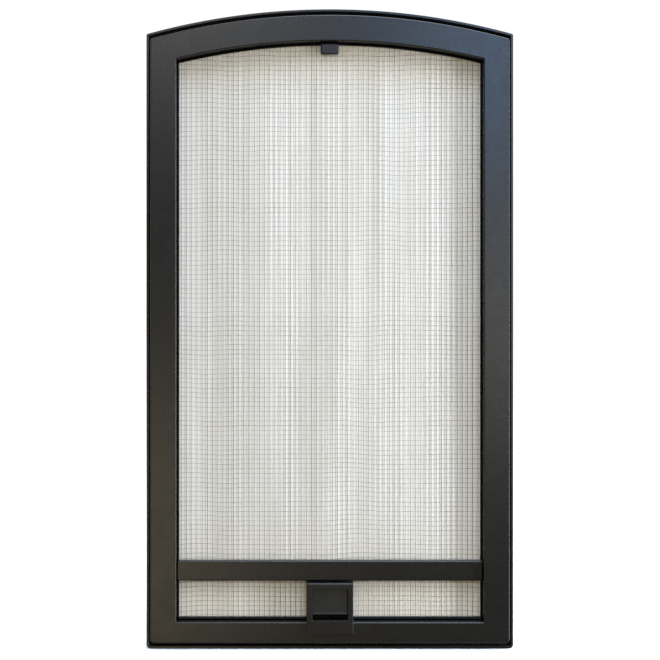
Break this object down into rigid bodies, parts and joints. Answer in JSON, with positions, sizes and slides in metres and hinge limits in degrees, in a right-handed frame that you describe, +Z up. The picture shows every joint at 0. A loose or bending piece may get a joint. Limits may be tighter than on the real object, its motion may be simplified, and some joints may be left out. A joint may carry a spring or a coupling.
{
  "type": "fireplace screen",
  "caption": "Free-standing arched fireplace screen in satin black steel, with a cloth-backed mesh panel that tilts out on a top pivot, a thumb latch at the bottom and folding rear feet",
  "frame": {"origin": "on the floor, in the middle of the footprint", "axes": "+X to the viewer's right, +Y to the rear, +Z up; the front faces -Y"},
  "size_m": [0.436, 0.1806, 0.76],
  "materials": {
    "black_coat": "satin black powder coat, faint orange peel, soft sheen",
    "woven_mesh": "fine woven steel wire, satin dark coat",
    "glass_cloth": "plain-weave off-white glass-fibre cloth",
    "zinc_steel": "bright zinc plate",
    "spring_steel": "polished spring steel",
    "rubber": "matt moulded rubber"
  },
  "bodies": {
    "frame": {"front_frame": "black_coat", "back_frame": "black_coat", "strike_plate": "zinc_steel", "pivot_keeper": "black_coat", "frame_screw_1": "zinc_steel", "frame_screw_2": "zinc_steel", "frame_screw_3": "zinc_steel", "frame_screw_4": "zinc_steel", "frame_screw_5": "zinc_steel", "frame_screw_6": "zinc_steel", "frame_screw_7": "zinc_steel", "frame_screw_8": "zinc_steel", "keeper_screw_1": "zinc_steel", "keeper_screw_2": "zinc_steel", "bumper_left_1": "rubber", "bumper_left_2": "rubber", "bumper_right_1": "rubber", "bumper_right_2": "rubber", "foot_clip_left_1": "zinc_steel", "clip_screw_left_1": "zinc_steel", "foot_clip_left_2": "zinc_steel", "clip_screw_left_2": "zinc_steel", "foot_clip_right_1": "zinc_steel", "clip_screw_right_1": "zinc_steel", "foot_clip_right_2": "zinc_steel", "clip_screw_right_2": "zinc_steel"},
    "panel": {"latch_housing": "black_coat", "latch_cover": "zinc_steel", "latch_backer": "zinc_steel", "detent_spring": "spring_steel", "latch_screw_1": "zinc_steel", "latch_screw_2": "zinc_steel", "latch_screw_3": "zinc_steel", "latch_screw_4": "zinc_steel", "panel_frame": "black_coat", "wire_mesh": "woven_mesh", "backing_cloth": "glass_cloth", "panel_retainer": "black_coat", "mid_rail": "black_coat", "mid_rail_backer": "zinc_steel", "top_hook": "black_coat", "rail_screw_1": "zinc_steel", "rail_screw_2": "zinc_steel", "rail_screw_3": "zinc_steel", "pivot_pin": "zinc_steel"},
    "latch_slider": {"latch_thumb_pad": "black_coat", "latch_bolt": "zinc_steel", "latch_rivet": "zinc_steel"},
    "foot_left": {"foot_left": "black_coat", "glide_left": "rubber"},
    "foot_right": {"foot_right": "black_coat", "glide_right": "rubber"}
  },
  "joints": [
    {"name": "panel_tilt", "type": "hinge", "parent": "frame", "child": "panel", "pos_m": [0, -0.0713, 0.7243], "axis": [-1, 0, 0], "range_deg": [0, 12]},
    {"name": "latch_slide", "type": "slide", "parent": "panel", "child": "latch_slider", "axis": [0, 0, -1], "range_m": [0, 0.006]},
    {"name": "foot_left_fold", "type": "hinge", "parent": "frame", "child": "foot_left", "pos_m": [-0.198, -0.0567, 0.1], "axis": [0, 0, -1], "range_deg": [0, 90]},
    {"name": "foot_right_fold", "type": "hinge", "parent": "frame", "child": "foot_right", "pos_m": [0.198, -0.0567, 0.1], "axis": [0, 0, 1], "range_deg": [0, 90]}
  ]
}
